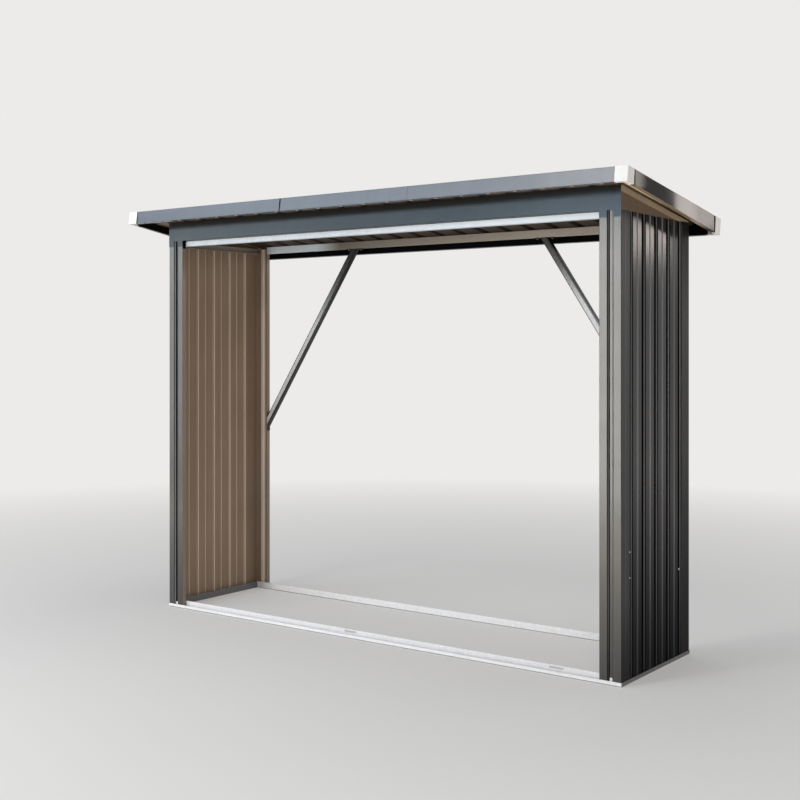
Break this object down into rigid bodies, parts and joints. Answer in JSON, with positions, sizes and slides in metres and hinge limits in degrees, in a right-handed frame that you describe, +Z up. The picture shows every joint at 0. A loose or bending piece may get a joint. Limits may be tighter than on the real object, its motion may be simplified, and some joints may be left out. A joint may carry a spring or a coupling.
{
  "type": "log store",
  "caption": "Open-fronted metal log store with ribbed side walls, a mono-pitch ribbed roof falling to the back and an open back",
  "frame": {"origin": "on the ground under the middle of the roof's box", "axes": "X along the front to the right, Y from the open front to the back, Z up"},
  "size_m": [2.496, 0.8246, 1.8166],
  "materials": {
    "painted_steel": "anthracite coated sheet steel",
    "galvanised_steel": "bare galvanised steel",
    "cap_plastic": "pale moulded plastic"
  },
  "bodies": {
    "root": {"back_brace_left": "galvanised_steel", "back_brace_right": "galvanised_steel", "base_rail_back": "galvanised_steel", "base_rail_front": "galvanised_steel", "base_rail_left": "galvanised_steel", "base_rail_right": "galvanised_steel", "corner_cap_back_left": "cap_plastic", "corner_cap_back_right": "cap_plastic", "corner_cap_front_left": "cap_plastic", "corner_cap_front_right": "cap_plastic", "fascia_back_left": "painted_steel", "fascia_back_middle": "painted_steel", "fascia_back_right": "painted_steel", "fascia_front_left": "painted_steel", "fascia_front_middle": "painted_steel", "fascia_front_right": "painted_steel", "fascia_left": "painted_steel", "fascia_right": "painted_steel", "gable_plate_left": "painted_steel", "gable_plate_right": "painted_steel", "header_board": "painted_steel", "post_back_left": "painted_steel", "post_back_right": "painted_steel", "post_front_left": "painted_steel", "post_front_right": "painted_steel", "roof_sheet_1": "painted_steel", "roof_sheet_2": "painted_steel", "roof_sheet_3": "painted_steel", "roof_sheet_4": "painted_steel", "roof_sheet_5": "painted_steel", "top_beam_back": "galvanised_steel", "top_beam_front": "galvanised_steel", "top_beam_left": "painted_steel", "top_beam_right": "painted_steel", "wall_sheet_left": "painted_steel", "wall_sheet_right": "painted_steel"}
  },
  "joints": []
}
